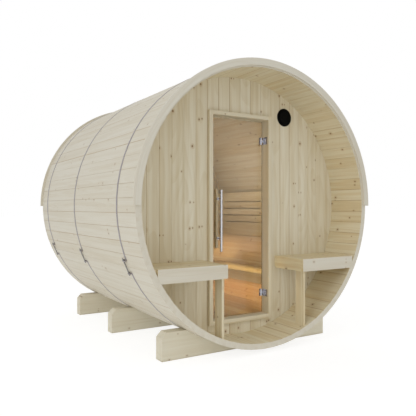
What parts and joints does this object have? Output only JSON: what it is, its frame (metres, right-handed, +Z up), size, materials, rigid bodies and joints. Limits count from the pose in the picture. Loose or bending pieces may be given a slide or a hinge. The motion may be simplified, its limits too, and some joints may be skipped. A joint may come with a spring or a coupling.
{
  "type": "barrel sauna",
  "caption": "Lying barrel of wooden staves on cradles, bound with steel bands, with an open porch with benches, a recessed front wall and a hinged glass door.",
  "frame": {"origin": "on the ground under the middle of the barrel, at the middle of the bounding box's bottom", "axes": "+Z up, +Y along the barrel to its back, so the porch and door face -Y, +X to the right seen from the front"},
  "size_m": [2.14, 2.336, 2.1528],
  "materials": {
    "spruce": "planed natural spruce, untreated",
    "steel": "brushed stainless",
    "dark_steel": "dull threaded rod",
    "glass": "clear, faint bronze tint",
    "black_valve": "matt black"
  },
  "bodies": {
    "cabin": {"air_valve": "black_valve", "arch_board_back": "spruce", "arch_board_front": "spruce", "back_wall": "spruce", "band_tension_rods": "dark_steel", "cradle_back": "spruce", "cradle_front": "spruce", "cradle_middle": "spruce", "door_head": "spruce", "door_jamb_left": "spruce", "door_jamb_right": "spruce", "door_sill": "spruce", "door_stops": "spruce", "front_wall_left": "spruce", "front_wall_over_door": "spruce", "front_wall_right": "spruce", "front_wall_under_door": "spruce", "hinge_brackets": "steel", "inner_backrest": "spruce", "inner_backrest_cleats": "spruce", "inner_bench_bearers": "spruce", "inner_bench_front": "spruce", "inner_bench_seat": "spruce", "porch_bench_left_aprons": "spruce", "porch_bench_left_leg": "spruce", "porch_bench_left_top": "spruce", "porch_bench_right_aprons": "spruce", "porch_bench_right_leg": "spruce", "porch_bench_right_top": "spruce", "stave_panel_01": "spruce", "stave_panel_02": "spruce", "stave_panel_03": "spruce", "stave_panel_04": "spruce", "stave_panel_05": "spruce", "stave_panel_06": "spruce", "stave_panel_07": "spruce", "stave_panel_08": "spruce", "stave_panel_09": "spruce", "stave_panel_10": "spruce", "stave_panel_11": "spruce", "stave_panel_12": "spruce", "stave_panel_13": "spruce", "stave_panel_14": "spruce", "stave_panel_15": "spruce", "stave_panel_16": "spruce", "stave_panel_17": "spruce", "steel_band_back": "steel", "steel_band_front": "steel", "steel_band_middle": "steel"},
    "door": {"door_glass": "glass", "door_handle": "steel", "door_inner_grip": "spruce", "hinge_clamps": "steel"}
  },
  "joints": [
    {"name": "door_hinge", "type": "hinge", "parent": "cabin", "child": "door", "pos_m": [0.254, -0.75, 0.991], "axis": [0, 0, 1], "range_deg": [0, 90]}
  ]
}
